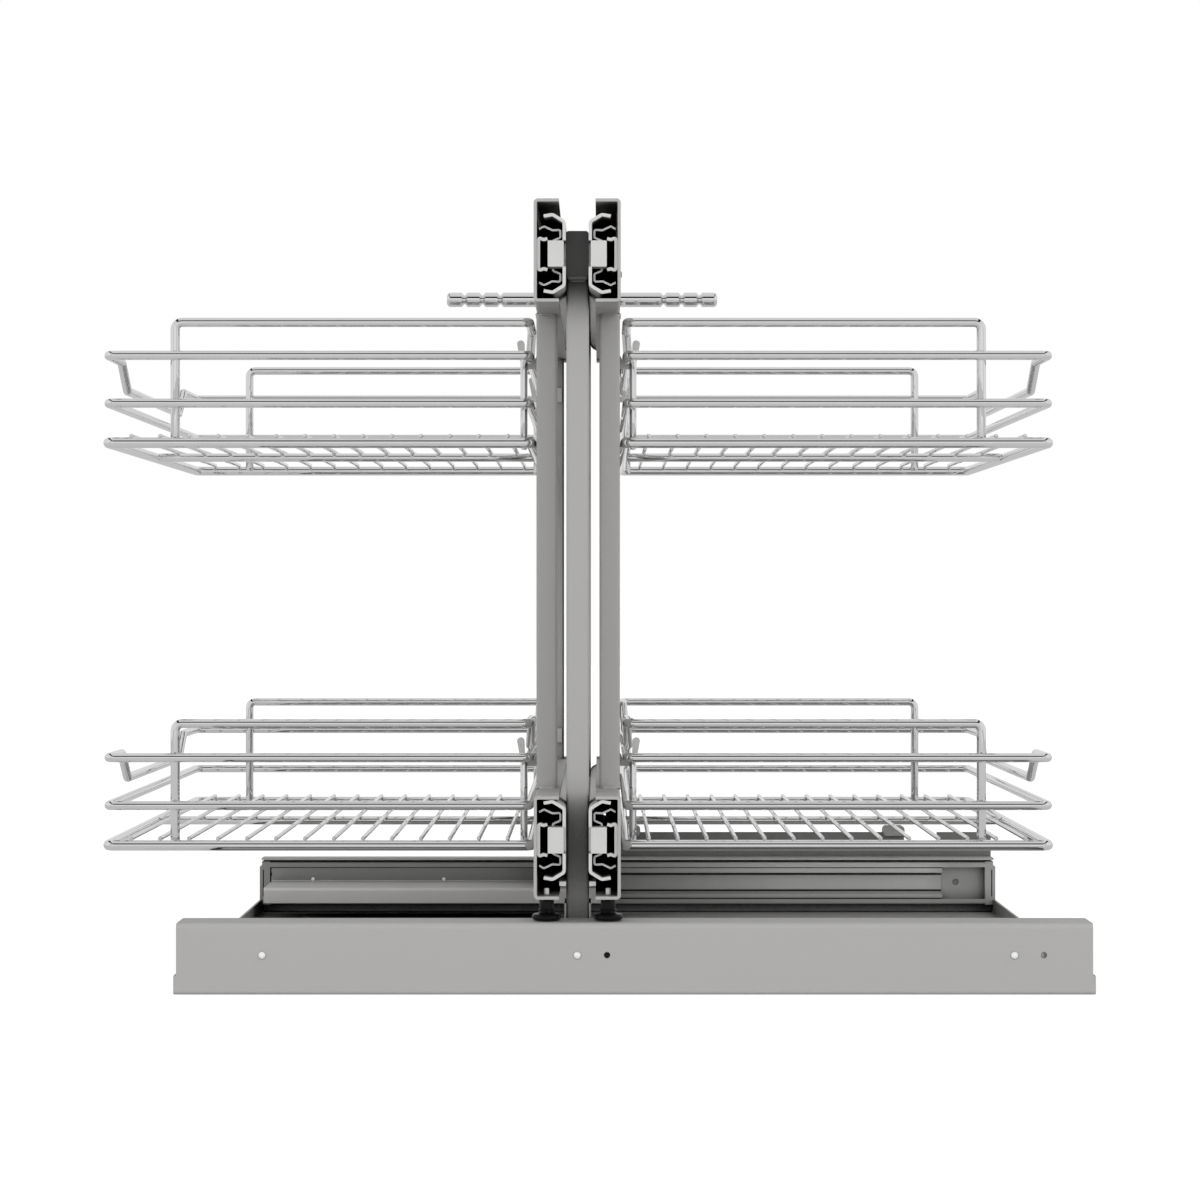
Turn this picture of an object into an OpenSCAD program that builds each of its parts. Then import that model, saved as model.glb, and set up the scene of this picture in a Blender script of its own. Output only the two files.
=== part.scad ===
// Pull-out pantry frame for a blind corner cabinet. A sheet-metal base holds a centre frame
// that shifts sideways on two cross slides. A left and a right rack pull out forwards on
// ball-bearing slides at both sides of the centre frame, and each carries two wire baskets.
// Sideways places count from the centre frame's middle plane, depths from the front wall's
// face backwards, and heights from the cabinet floor.

/* [Base] */
// Length of the base between the side flanges of its pan
base_w = 600; // [590:5:700]
// Depth of the base over its front and rear walls
base_d = 486; // [480:2:530]
// Sheet thickness of the pan, the walls and the carriage arms
base_sheet = 1.8; // [1.5:0.1:2.2]
// Height of the front and rear walls
wall_h = 47; // [46:0.5:50]
// Depth of the flange along the top of the front wall
front_flange = 30; // [24:1:31]
// Depth of the flange along the top of the rear wall
rear_flange = 17; // [15:1:31]
// Depth of the flange along the foot of each wall
wall_foot = 20; // [12:1:28]
// Bend radius of the folded sheet, at the middle of its thickness
fold_r = 1.5; // [1.3:0.1:2.5]
// Bend radius along the walls' upper edges, at the middle of the sheet
wall_top_r = 2.8; // [1.5:0.1:4]
// Radius of the walls' upper corners
wall_corner_r = 0.5; // [0.5:0.5:6]
// Height of the pan's side flanges
side_flange_h = 12.4; // [8:0.2:15]
// Diameter of the floor screw holes
floor_hole_d = 5; // [4:0.5:6]
// Sideways place of the outer floor holes from the base's middle
floor_hole_x = 261; // [200:1:280]
// Sideways place of the middle floor holes from the base's middle
floor_mid_x = 65.5; // [0:0.5:120]
// Distance of the floor holes from the walls' faces
floor_hole_in = 43; // [32:1:90]

/* [Track screws] */
// Shank diameter of the screws that hold the cross tracks
screw_d = 3; // [2.5:0.1:3.5]
// Head diameter of the screws
screw_head_d = 4.6; // [4.4:0.1:6]
// Height of the screws' heads
screw_head_h = 1.2; // [0.8:0.1:2]
// Distance of the left screw from the base's left end
screw_left = 56.3; // [40:0.1:80]
// Distance of the right screw from the base's right end
screw_right = 51.5; // [45:0.1:80]
// Diameter of the two access holes in the front wall
access_d = 4.2; // [3:0.1:5]
// Distance of the right access hole from the base's right end
access_right = 32.2; // [25:0.1:40]
// Distance of the middle access hole from the middle screw
access_mid = 19.5; // [15:0.1:30]
// Diameter of the two holes behind them in each cross track
track_hole_d = 5.2; // [4:0.1:6]
// Distance of a cross track's right hole from the base's right end
track_hole_in = 29.5; // [24:0.1:36]

/* [Back stop] */
// Place of the stop plate's left end from the base's middle
stop_x0 = -20; // [-60:1:20]
// Height of the stop plate's upper edge above the walls
stop_rise = 19.7; // [16:0.1:22]
// Width of the notch in the stop plate
stop_notch_w = 27; // [15:1:40]
// Depth of the notch in the stop plate
stop_notch_h = 12; // [6:1:16]
// Width of a stop pad
pad_w = 17.6; // [12:0.2:26]
// Thickness of a stop pad, front to back
pad_t = 11; // [6:0.5:12]
// Distance of the left pad from the stop plate's left end
pad_left = 13; // [8:1:60]
// Distance of the right pad from the base's right end
pad_right = 71.6; // [50:0.1:120]

/* [Cross slides] */
// Height of a cross slide's section
cross_h = 35.4; // [33:0.2:37]
// Gap between a cross slide and the wall flange above it
cross_drop = 1.5; // [0.5:0.1:2.5]
// Length of the stop at each end of a cross track
cross_stop_l = 6.7; // [5:0.1:12]
// Height of the cap at each end of the rear cross track
cross_cap_h = 27.2; // [20:0.2:30]
// Sideways travel of the cross runners
cross_runner_travel = 34; // [20:1:60]
// Balls in a row of the cages that ride with the cross runners
cross_ball_count = 15; // [6:1:24]
// Balls in a row of the cages that ride with the carriage rails
carriage_ball_count = 9; // [4:1:14]

/* [Centre frame] */
// Width of the rectangular tubes
tube_w = 15; // [12:0.5:16]
// Depth of the posts and height of the top rail
tube_d = 30; // [24:1:32]
// Wall thickness of the tubes
tube_wall = 1.5; // [1.2:0.1:2]
// Height of the top rail's upper face
frame_h = 501; // [497:0.5:504]
// Setback of the front post from the front wall's face
post_setback = 32; // [32:0.5:36]
// Setback of the top rail's cap from the front wall's face
cap_setback = 10; // [4:0.5:20]
// Length of the carriage arms
arm_l = 273; // [240:1:300]
// Length of the carriage arms to the right of the middle plane
arm_past = 19; // [14:0.5:30]
// Depth of a carriage arm's shelf
arm_shelf_d = 60; // [56:1:64]
// Height of a carriage arm's hanging lip
arm_lip_h = 12; // [8:0.5:14]
// Height of the upright that joins an arm to its carriage rail
arm_upright_h = 10.5; // [7:0.5:11]
// Height of the foot brackets
bracket_h = 28.7; // [24:0.1:30]
// Sheet thickness of the foot brackets
bracket_sheet = 1.3; // [1:0.1:2]
// Thread diameter of the foot bolts
bolt_d = 6; // [5:0.5:8]
// Height of the bottom rail's upper face above the lower slides' middle
bottom_rail_rise = 16; // [12:0.5:20]
// Height of the bottom rail's folded section
bottom_rail_h = 50; // [44:1:54]
// Width of the bottom rail over its hemmed flanges
bottom_rail_w = 24.2; // [21:0.2:24.6]
// Sheet thickness of the bottom rail
bottom_sheet = 1.7; // [1.2:0.1:2]

/* [Rear bar] */
// Diameter of the rear stop bar
bar_d = 12; // [10:0.5:14]
// Length of the rear stop bar
bar_l = 224; // [160:2:260]
// Gap between the bar and the rack channels' rear ends
bar_gap = 11; // [6:0.5:20]
// Length of the top rail behind the bar's middle
top_rail_past = 10; // [8:0.5:20]
// Spacing of the grooves at each end of the bar
groove_pitch = 14.8; // [10:0.2:18]
// Width of a groove at the bar's surface
groove_w = 4.2; // [2:0.1:6]
// Width of a groove's floor
groove_floor = 0.7; // [0.3:0.1:1.5]
// Depth of a groove
groove_deep = 1.9; // [1:0.1:2.5]
// Radius of the bar's rounded ends
bar_end_r = 3.4; // [1:0.1:4.5]
// Grooves at each end of the bar
groove_count = 3; // [1:1:4]

/* [Rack slides] */
// Height of a rack slide's section
slide_h = 53; // [51:0.5:56]
// Thickness of a rack slide's section
slide_t = 19; // [19:0.1:20]
// Length of the fixed and the moving members
slide_l = 450; // [400:5:460]
// Length of the intermediate members
runner_l = 432; // [390:2:436]
// Forward travel of a rack
rack_travel = 430; // [300:5:440]
// Distance from the top rail's upper face down to the upper slides' middle
slide_drop = 16; // [13:0.5:21]
// Height of the lower slides' middle
lower_slide_z = 101; // [99:0.5:109]
// Sheet thickness of the outer members
track_gauge = 2.1; // [1.6:0.1:2.2]
// Sheet thickness of the intermediate members
runner_gauge = 1.3; // [1:0.1:1.4]
// Sheet thickness of the inner members
rail_gauge = 2.1; // [1.6:0.1:2.2]
// Setback of the intermediate members' front ends
runner_setback = 13; // [8:0.5:14]
// Setback of the inner members' front ends
rail_setback = 4; // [1:0.5:8]
// Setback of the inner ball cages from the intermediate members' front ends
inner_cage_setback = 85; // [10:1:120]
// Balls in a row of a ball cage
ball_count = 9; // [4:1:12]

/* [Racks] */
// Height of the rack channels
channel_h = 67.5; // [64:0.5:68]
// Width of the rack channels over their flanges
channel_w = 16.5; // [14:0.5:16.8]
// Sheet thickness of the rack channels
channel_sheet = 2; // [1.5:0.1:2.2]
// Gap from a channel's rear end to the base's rear face
channel_end_gap = 8; // [8:0.5:12]
// Width of the rack posts
rack_post_w = 14; // [10:0.5:16]
// Depth of the rack posts
rack_post_d = 30; // [20:1:36]
// Setback of the front rack posts
rack_post_setback = 80; // [70:1:90]
// Distance from the rear rack posts to the channels' rear ends
rack_post_end = 8; // [4:1:16]
// Sideways place of the rack feet
foot_x = 20.3; // [18:0.1:21]
// Setback of the rack feet
foot_setback = 15; // [11:0.5:19]
// Diameter of the foot's disc
foot_d = 19.5; // [14:0.5:20]
// Height of the foot's disc
foot_disc_h = 4.7; // [4.6:0.1:6]
// Diameter of the foot's stem
stem_d = 9.7; // [7:0.1:11]
// Diameter of the foot's threaded stud
stud_d = 3.5; // [3:0.1:4.5]
// Length of the stud above the channel's floor
stud_past = 4.2; // [3:0.1:8]
// Thickness of the basket hooks
hook_t = 3; // [2:0.5:4]
// Height of a hook below its slot
hook_sole = 3.7; // [2.5:0.1:6]
// Width of a hook's tongue
tongue_w = 5.2; // [4:0.1:6]
// Rise of a hook's tongue above the rail wire's middle, to the middle of its round end
tongue_rise = 10; // [7:0.5:12]

/* [Baskets] */
// Width of a basket from the rack to its outer edge
basket_w = 296.6; // [285:0.2:320]
// Depth of a basket between the middles of its front and back wires
basket_d = 426.6; // [410:0.2:440]
// Setback of the basket's front wires
basket_setback = 83; // [80:0.5:88]
// Distance from the upper slides' middle down to the upper basket's floor frame
upper_basket_drop = 119.2; // [118:0.2:125]
// Distance from the lower slides' middle down to the lower basket's floor frame
lower_basket_drop = 10.3; // [5:0.1:11]
// Diameter of the floor frame's wire
floor_wire = 7.4; // [6:0.1:8]
// Diameter of the rail and guard wires
rail_wire = 6.4; // [5:0.1:7]
// Diameter of the inner uprights
upright_wire = 5; // [4:0.1:6]
// Diameter of the floor's mesh wires
mesh_wire = 3; // [2.4:0.1:4]
// Mesh wires in a basket's floor
mesh_count = 14; // [6:1:14]
// Spacing of the mesh wires
mesh_pitch = 19.8; // [15:0.1:20]
// Rise of the middle rail above the floor frame
mid_rise = 27.1; // [20:0.1:32]
// Rise of the top rail above the floor frame
top_rise = 59.8; // [57:0.1:63]
// Rise of the front and back guards above the floor frame
guard_rise = 82.3; // [80:0.1:84]
// Distance from the basket's outer edge to the guards' legs
guard_leg_in = 49.8; // [46:0.2:54]
// Length of the guards' runs along the rack
guard_run = 80; // [60:1:90]
// Depth of the dip in the top rail's outer side
dip_drop = 18.6; // [12:0.6:19.8]
// Distance from the front wire to the dip
dip_front = 55; // [45:1:90]
// Distance from the back wire to the dip
dip_back = 75; // [45:1:90]
// Distance from a basket's front and back wires to the inner uprights
upright_in = 22; // [20:1:25]
// Bend radius of the basket wires
wire_bend = 4.2; // [4.2:0.6:7.2]

/* [Clearances] */
// Gap between parts that slide past each other
run_gap = 0.3; // [0.2:0.05:0.4]
// Gap between solids that lie against each other
seat_gap = 0.05; // [0.03:0.01:0.1]
// Depth to which welded wires sink into each other
weld = 0.55; // [0.3:0.05:0.7]

/* [Hidden] */
$fn = 40;
cut = 1;

steel_grey = [0.66, 0.66, 0.65];
slide_grey = [0.8, 0.8, 0.79];
bumper_grey = [0.78, 0.78, 0.77];
pad_grey = [0.6, 0.6, 0.59];
bright = [0.88, 0.88, 0.89];
black = [0.08, 0.08, 0.08];

// The cross slides have the rack slides' section at a smaller size
cross_scale = cross_h / slide_h;
cross_t = slide_t * cross_scale;
cross_z = wall_h - base_sheet - cross_drop - cross_h / 2;
cross_face = base_sheet + cross_t;
cross_track_l = base_w - 2 * cross_stop_l;
cross_end_gap = 1;
cross_runner_l = cross_track_l - cross_runner_travel - 2 * cross_end_gap;
cross_runner_x0 = cross_end_gap - cross_track_l / 2;

// The centre frame parks at the left end of its travel
arm_end_gap = 8.5;
park_x = arm_end_gap + arm_l - arm_past - base_w / 2;
carriage_x0 = cross_stop_l + cross_end_gap - base_w / 2 - park_x;

// The posts stand in brackets on the carriage arms' shelves
shelf_z = cross_z + 2;
post_foot_z = shelf_z + bracket_sheet + run_gap;
bolt_z = shelf_z + bracket_h / 2;
top_rail_z = frame_h - tube_d;

// Rack slides and channels
upper_slide_z = frame_h - slide_drop;
half_h = slide_h / 2;
rack_face = tube_w / 2 + slide_t + channel_sheet;
upper_channel_z = upper_slide_z - half_h - 3 - channel_sheet;
lower_channel_z = lower_slide_z + half_h + run_gap + channel_sheet - channel_h;
channel_l = base_d - channel_end_gap;
rack_rear_post_y = channel_l - rack_post_end - rack_post_d;
rack_post_z = lower_channel_z + channel_h;
bottom_rail_top = lower_slide_z + bottom_rail_rise;
bar_y = channel_l + bar_gap + bar_d / 2;
top_rail_end = bar_y + top_rail_past;
cap_plate = 2;
cap_plug = 12;

// The slides' section, with u from the carrying face and v from the section's middle
race_u = 8.6;
race_v = half_h - track_gauge / 2;
outer_ball_d = 5.6;
outer_ball = [race_u + 1, race_v - 4.25];
inner_ball_d = 6.8;
inner_race_u = slide_t - 4.5;
track_lip_u = 14.4;
runner_back_u = 3.7;
runner_lip_u = inner_race_u + 3.2;
runner_race_v = race_v - 8.65;
runner_crown_v = runner_race_v + 2.6;
inner_ball = [inner_race_u, runner_crown_v - 4.8];
rail_race_v = runner_crown_v - 9.9;
window_v = rail_race_v - 0.9;
bumper_u = [1.4, 11.8];
bumper_v = window_v - seat_gap;
bumper_front = 0.5;
cage_t = 0.8;
cage_w = 6.2;
cage_margin = 10;

// The cross slides' section at the rack slides' size. Their lips turn in across the open side.
cross_lip_u = slide_t - track_gauge / 2;
cross_lip_v = race_v - 5.9;
cross_runner_u = [6, slide_t - 1.4];
cross_runner_v = race_v - 7.25;
cross_runner_lip_v = cross_runner_v - 5.2;
cross_rail_u = 9.5;
cross_rail_v = cross_runner_v - 9.85;
ball_play = 0.35;
outer_gap_v = [cross_runner_v + runner_gauge / 2, race_v - track_gauge / 2];
inner_gap_v = [cross_rail_v + rail_gauge / 2, cross_runner_v - runner_gauge / 2];
cross_outer_ball = [(cross_runner_u[0] + cross_runner_u[1]) / 2, (outer_gap_v[0] + outer_gap_v[1]) / 2];
cross_outer_ball_d = outer_gap_v[1] - outer_gap_v[0] - ball_play;
cross_inner_ball = [cross_rail_u + cage_w / 2, (inner_gap_v[0] + inner_gap_v[1]) / 2];
cross_inner_ball_d = inner_gap_v[1] - inner_gap_v[0] - ball_play;

// The racks' feet slide along the front wall's upper flange
foot_z = wall_h + run_gap;
foot_bore_z = foot_z + foot_disc_h / 2;

// Baskets: middles of the floor frame's and the rails' wires
floor_r = floor_wire / 2;
rail_r = rail_wire / 2;
basket_gap = 4 * seat_gap;
floor_x0 = rack_face + basket_gap + floor_r;
floor_x1 = rack_face + basket_w - floor_r;
floor_y0 = basket_setback;
floor_y1 = basket_setback + basket_d;
leg_y = floor_y0 + floor_r + rail_r + seat_gap;
rail_inset = leg_y - floor_y0 - rail_wire + weld;
rail_x0 = floor_x0 + rail_inset;
rail_x1 = floor_x1;
rail_y0 = floor_y0 + rail_inset;
rail_y1 = floor_y1 - rail_inset;
guard_x = rail_x0;
leg_x = rack_face + basket_w - guard_leg_in;
upright_x = floor_x0 + floor_r + upright_wire / 2 + seat_gap;
dip_slope = dip_drop * 4 / 3;
upper_floor_z = upper_slide_z - upper_basket_drop;
lower_floor_z = lower_slide_z - lower_basket_drop;

// Sideways places of the track screws and the access holes, from the base's middle
screw_x = [screw_left - base_w / 2, park_x, base_w / 2 - screw_right];
access_x = [park_x + access_mid, base_w / 2 - access_right];
track_hole_x = [park_x + access_mid, base_w / 2 - track_hole_in];
screw_clear = 0.1;

function unit(v) = v / norm(v);
function side(v) = [-v.y, v.x];
function turn(a, b) = atan2(a.x * b.y - a.y * b.x, a * b);
function spin(v, a) = [v.x * cos(a) - v.y * sin(a), v.x * sin(a) + v.y * cos(a)];
function reverse(list) = [for (i = [len(list) - 1:-1:0]) list[i]];
function arc(centre, r, a0, a1, n = 6) =
    [for (i = [0:n]) centre + r * [cos(a0 + (a1 - a0) * i / n), sin(a0 + (a1 - a0) * i / n)]];

// Points of the arc that rounds the corner b between a and c
function fillet(a, b, c, r, n = 5) =
    let (d1 = unit(b - a), d2 = unit(c - b), angle = turn(d1, d2))
    let (start = b - d1 * r * tan(abs(angle) / 2), centre = start + side(d1) * sign(angle) * r)
    [for (i = [0:n]) centre + spin(start - centre, angle * i / n)];

// An open path with its corners rounded, by one radius or by a list of one for each corner
function rounded(path, r) = concat(
    [path[0]],
    [for (i = [1:len(path) - 2])
        each fillet(path[i - 1], path[i], path[i + 1], is_list(r) ? r[i - 1] : r)],
    [path[len(path) - 1]]);

// A path moved sideways by s, with mitred corners
function shifted(path, s) = [for (i = [0:len(path) - 1])
    let (j = max(i, 1), k = min(i, len(path) - 2))
    let (n1 = side(unit(path[j] - path[j - 1])), n2 = side(unit(path[k + 1] - path[k])))
    path[i] + s * (n1 + n2) / (1 + n1 * n2)];

// The whole of a section that is alike above and below its middle
function both_halves(half) = concat([for (p = reverse(half)) [p.x, -p.y]], half);

// Section of a sheet folded along a path
module strip(path, t, r) {
    line = rounded(path, r);
    polygon(concat(shifted(line, t / 2), reverse(shifted(line, -t / 2))));
}

module round_rect(w, h, r) {
    polygon(concat(
        arc([w / 2 - r, h / 2 - r], r, 0, 90), arc([r - w / 2, h / 2 - r], r, 90, 180),
        arc([r - w / 2, r - h / 2], r, 180, 270), arc([w / 2 - r, r - h / 2], r, 270, 360)));
}

module tube_section(w, h) {
    corner_r = tube_wall + 0.5;
    difference() {
        round_rect(w, h, corner_r);
        round_rect(w - 2 * tube_wall, h - 2 * tube_wall, corner_r - tube_wall);
    }
}

// A section of sideways place and height, drawn out from depth y0 to y1
module along_depth(y0, y1) {
    translate([0, y1, 0]) rotate([90, 0, 0]) linear_extrude(y1 - y0) children();
}

// A section of depth and height, drawn out from x0 to x1
module along_width(x0, x1) {
    translate([x0, 0, 0]) rotate([90, 0, 90]) linear_extrude(x1 - x0) children();
}

// Pieces of the base are placed from the base's middle
module on_base() {
    translate([0, -base_d / 2, 0]) children();
}

// All other pieces are placed from the centre frame's middle plane
module on_frame() {
    translate([park_x, -base_d / 2, 0]) children();
}

module on_left() {
    on_frame() mirror([1, 0, 0]) children();
}

module flip_depth() {
    translate([0, base_d, 0]) mirror([0, 1, 0]) children();
}

module both_ends() {
    children();
    flip_depth() children();
}

// A straight wire from a to b
module rod(a, b, d) {
    v = b - a;
    translate(a) rotate([0, acos(v.z / norm(v)), atan2(v.y, v.x)])
        cylinder(h = norm(v), d = d, $fn = 24);
}

// The bend of a wire at the corner b between a and c
module elbow(a, b, c, d, r) {
    d1 = unit(b - a);
    d2 = unit(c - b);
    angle = acos(d1 * d2);
    n = unit(cross(d1, d2));
    out = cross(d1, n);
    centre = b - d1 * r * tan(angle / 2) - out * r;
    tilt = acos(n.z);
    swing = atan2(n.y, n.x);
    ex = [cos(tilt) * cos(swing), cos(tilt) * sin(swing), -sin(tilt)];
    ey = [-sin(swing), cos(swing), 0];
    translate(centre) rotate([0, tilt, swing]) rotate([0, 0, atan2(out * ey, out * ex)])
        rotate_extrude(angle = angle, $fn = 48) translate([r, 0]) circle(d = d, $fn = 24);
}

// A wire bent along a path of points
module wire(path, d, r, closed = false) {
    count = len(path);
    function at(i) = path[(i + count) % count];
    function trim(i) = !closed && (i == 0 || i == count - 1) ? 0 :
        r * tan(acos(unit(at(i) - at(i - 1)) * unit(at(i + 1) - at(i))) / 2);
    for (i = [0:count - (closed ? 1 : 2)]) {
        along = unit(at(i + 1) - at(i));
        rod(at(i) + along * trim(i), at(i + 1) - along * trim((i + 1) % count), d);
    }
    for (i = [closed ? 0 : 1:count - (closed ? 1 : 2)]) elbow(at(i - 1), at(i), at(i + 1), d, r);
}

// The pan's floor ends at the walls' feet, and its side flanges at the walls' ears
module base_pan() {
    edge = (base_w + base_sheet) / 2;
    flat = edge - fold_r;
    color(steel_grey) on_base() difference() {
        along_depth(base_sheet + seat_gap, base_d - base_sheet - seat_gap)
            strip([[-edge, side_flange_h], [-edge, base_sheet / 2],
                [edge, base_sheet / 2], [edge, side_flange_h]], base_sheet, fold_r);
        both_ends() translate([-flat, 0, -cut])
            cube([2 * flat, wall_foot + seat_gap, base_sheet + 2 * cut]);
        for (x = [-floor_hole_x, floor_mid_x, floor_hole_x], y = [floor_hole_in, base_d - floor_hole_in])
            translate([x, y, -cut])
                cylinder(h = base_sheet + 2 * cut, d = floor_hole_d);
    }
}

// Bores of diameter d at the sideways places xs, from the wall's face to depth y1
module bores(xs, d, y1) {
    for (x = xs) translate([x, -cut, cross_z]) rotate([-90, 0, 0])
        cylinder(h = y1 + cut, d = d);
}

module screw_bores(y1) {
    bores(screw_x, screw_d + 2 * screw_clear, y1);
}

// Outline of a wall seen from the front, low_l long beside the pan's side flanges
module wall_outline(low_l) {
    corner = [base_w / 2 - wall_corner_r, wall_h - wall_corner_r];
    half = concat([[low_l / 2, -cut], [low_l / 2, side_flange_h],
        [base_w / 2, side_flange_h]], arc(corner, wall_corner_r, 0, 90));
    polygon(concat(half, [for (p = reverse(half)) [-p.x, p.y]]));
}

// A wall with an ear at each end, which covers the end of the pan's side flange
module rail_wall(flange) {
    mid = base_sheet / 2;
    ear_l = base_w + 2 * base_sheet;
    foot_l = base_w + base_sheet - 2 * (fold_r + seat_gap);
    color(steel_grey) difference() {
        intersection() {
            along_width(-ear_l / 2, ear_l / 2)
                strip([[wall_foot, mid], [mid, mid], [mid, wall_h - mid],
                    [flange, wall_h - mid]], base_sheet, [fold_r, wall_top_r]);
            union() {
                along_depth(-cut, base_sheet) wall_outline(ear_l);
                along_depth(-cut, max(flange, wall_foot) + cut) wall_outline(foot_l);
            }
        }
        screw_bores(base_sheet + cut);
    }
}

module front_rail_wall() {
    on_base() difference() {
        rail_wall(front_flange);
        bores(access_x, access_d, base_sheet + cut);
    }
}

module rear_rail_wall() {
    on_base() flip_depth() rail_wall(rear_flange);
}

module back_stop_plate() {
    foot_z = cross_z + 8;
    top_z = wall_h + stop_rise;
    notch_x = base_w / 2 - pad_right;
    color(steel_grey) on_base() along_depth(base_d, base_d + base_sheet) difference() {
        translate([stop_x0, foot_z]) square([base_w / 2 - stop_x0, top_z - foot_z]);
        translate([notch_x, top_z - stop_notch_h]) square([stop_notch_w, stop_notch_h + cut]);
    }
}

module stop_pads() {
    grip = 2.8;
    over = 5.4;
    top_z = wall_h + stop_rise;
    mid_y = base_d + base_sheet / 2;
    color(pad_grey) on_base()
        for (x = [stop_x0 + pad_left, base_w / 2 - pad_right - pad_w]) difference() {
            translate([x + pad_w / 2, 0, top_z + (over - grip) / 2])
                along_depth(mid_y - pad_t / 2, mid_y + pad_t / 2)
                    round_rect(pad_w, grip + over, 3);
            translate([x - cut, base_d - seat_gap, top_z - grip - cut])
                cube([pad_w + 2 * cut, base_sheet + 2 * seat_gap, grip + cut + seat_gap]);
        }
}

module wall_screws() {
    shank_l = base_sheet + track_gauge * cross_scale;
    color(bright) on_base() both_ends() for (x = screw_x)
        translate([x, 0, cross_z]) rotate([-90, 0, 0]) {
            cylinder(h = shank_l, d = screw_d);
            mirror([0, 0, 1]) cylinder(h = screw_head_h / 2, d = screw_head_d);
            translate([0, 0, -screw_head_h])
                cylinder(h = screw_head_h / 2, d1 = screw_head_d * 0.7, d2 = screw_head_d);
        }
}

module track_section() {
    strip(both_halves([[track_gauge / 2, race_v - 4.6], [race_u, race_v],
        [track_lip_u, race_v - 1]]), track_gauge, 2.5);
}

module runner_section() {
    strip(both_halves([[race_u, runner_race_v - 6.9], [runner_back_u, runner_race_v - 4.9],
        [runner_back_u, runner_race_v + 0.3], [race_u + 0.4, runner_race_v],
        [inner_race_u, runner_crown_v], [runner_lip_u, runner_crown_v - 1.8]]),
        runner_gauge, 1.2);
}

module rail_section() {
    strip(both_halves([[slide_t - rail_gauge / 2, rail_race_v + 1.4],
        [inner_race_u + 0.1, rail_race_v], [inner_race_u - 2.4, rail_race_v + 0.7]]),
        rail_gauge, 1.2);
}

// A row of balls in its flat cage above the middle, and the same row below it
module cage_rows(centre, ball_d, y0, y1, count) {
    pitch = (y1 - y0 - 2 * ball_d) / (count - 1);
    for (s = [-1, 1]) translate([centre.x, 0, s * centre.y]) {
        translate([-cage_w / 2, y0, -cage_t / 2]) cube([cage_w, y1 - y0, cage_t]);
        for (i = [0:count - 1]) translate([0, y0 + ball_d + i * pitch, 0])
            sphere(d = ball_d, $fn = 24);
    }
}

// Lengths along a cross slide run to the right from x0
module cross_cage(centre, ball_d, x0, x1, count) {
    translate([x1, base_sheet, cross_z]) rotate([0, 0, 90]) scale(cross_scale)
        cage_rows(centre, ball_d, 0, (x1 - x0) / cross_scale, count);
}

module cross_section_at() {
    translate([base_sheet, cross_z]) scale(cross_scale) children();
}

module cross_track_section() {
    strip(both_halves([[track_gauge / 2, race_v], [cross_lip_u, race_v],
        [cross_lip_u, cross_lip_v]]), track_gauge, 2);
}

module cross_runner_section() {
    strip(both_halves([[cross_runner_u[0], cross_runner_v],
        [cross_runner_u[1], cross_runner_v], [cross_runner_u[1], cross_runner_lip_v]]),
        runner_gauge, 1.2);
}

module cross_rail_section() {
    strip(both_halves([[cross_lip_u, cross_rail_v], [cross_rail_u, cross_rail_v]]),
        rail_gauge, 1.4);
}

module cross_track() {
    slot_w = 0.9;
    slot_h = 22;
    slot_in = 0.7;
    color(slide_grey) {
        difference() {
            along_width(-cross_track_l / 2, cross_track_l / 2)
                cross_section_at() cross_track_section();
            screw_bores(cross_face / 2);
            bores(track_hole_x, track_hole_d, cross_face / 2);
        }
        for (s = [0, 1]) mirror([s, 0, 0]) difference() {
            translate([cross_track_l / 2, base_sheet, cross_z - cross_h / 2])
                cube([cross_stop_l, cross_t - run_gap, cross_h]);
            translate([base_w / 2 - slot_in - slot_w, 0, cross_z - slot_h / 2])
                cube([slot_w, cross_face + cut, slot_h]);
        }
    }
}

module front_cross_track() {
    on_base() cross_track();
}

// The rear track's end blocks have caps beside the wall's ends
module rear_cross_track() {
    cap_root = 0.5;
    on_base() flip_depth() {
        cross_track();
        color(slide_grey) for (s = [0, 1]) mirror([s, 0, 0])
            translate([base_w / 2 - cap_root, base_sheet, side_flange_h + seat_gap])
                cube([cap_root + base_sheet, cross_t - run_gap, cross_cap_h]);
    }
}

module cross_runner_pair() {
    color(slide_grey) on_base() both_ends()
        along_width(cross_runner_x0, cross_runner_x0 + cross_runner_l)
            cross_section_at() cross_runner_section();
}

module cross_ball_cages() {
    color(bright) on_base() both_ends()
        cross_cage(cross_outer_ball, cross_outer_ball_d, cross_runner_x0 + cage_margin,
            cross_runner_x0 + cross_runner_l - cage_margin, cross_ball_count);
}

module carriage_rails() {
    color(slide_grey) on_frame() both_ends()
        along_width(carriage_x0, arm_past) cross_section_at() cross_rail_section();
}

module carriage_ball_cages() {
    color(bright) on_frame() both_ends()
        cross_cage(cross_inner_ball, cross_inner_ball_d, carriage_x0 + cage_margin,
            arm_past - cage_margin, carriage_ball_count);
}

module carriage_arm() {
    mid = base_sheet / 2;
    color(steel_grey) along_width(arm_past - arm_l, arm_past)
        strip([[cross_face + mid, shelf_z + arm_upright_h], [cross_face + mid, shelf_z - mid],
            [cross_face + arm_shelf_d - mid, shelf_z - mid],
            [cross_face + arm_shelf_d - mid, shelf_z - arm_lip_h]], base_sheet, fold_r);
}

module front_carriage_arm() {
    on_frame() carriage_arm();
}

module rear_carriage_arm() {
    on_frame() flip_depth() carriage_arm();
}

// Bore or shank of a foot bolt, from sideways place x0 to x1
module bolt_bore(x0, x1, d) {
    translate([x0, post_setback + tube_d / 2, bolt_z]) rotate([0, 90, 0])
        cylinder(h = x1 - x0, d = d);
}

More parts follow.
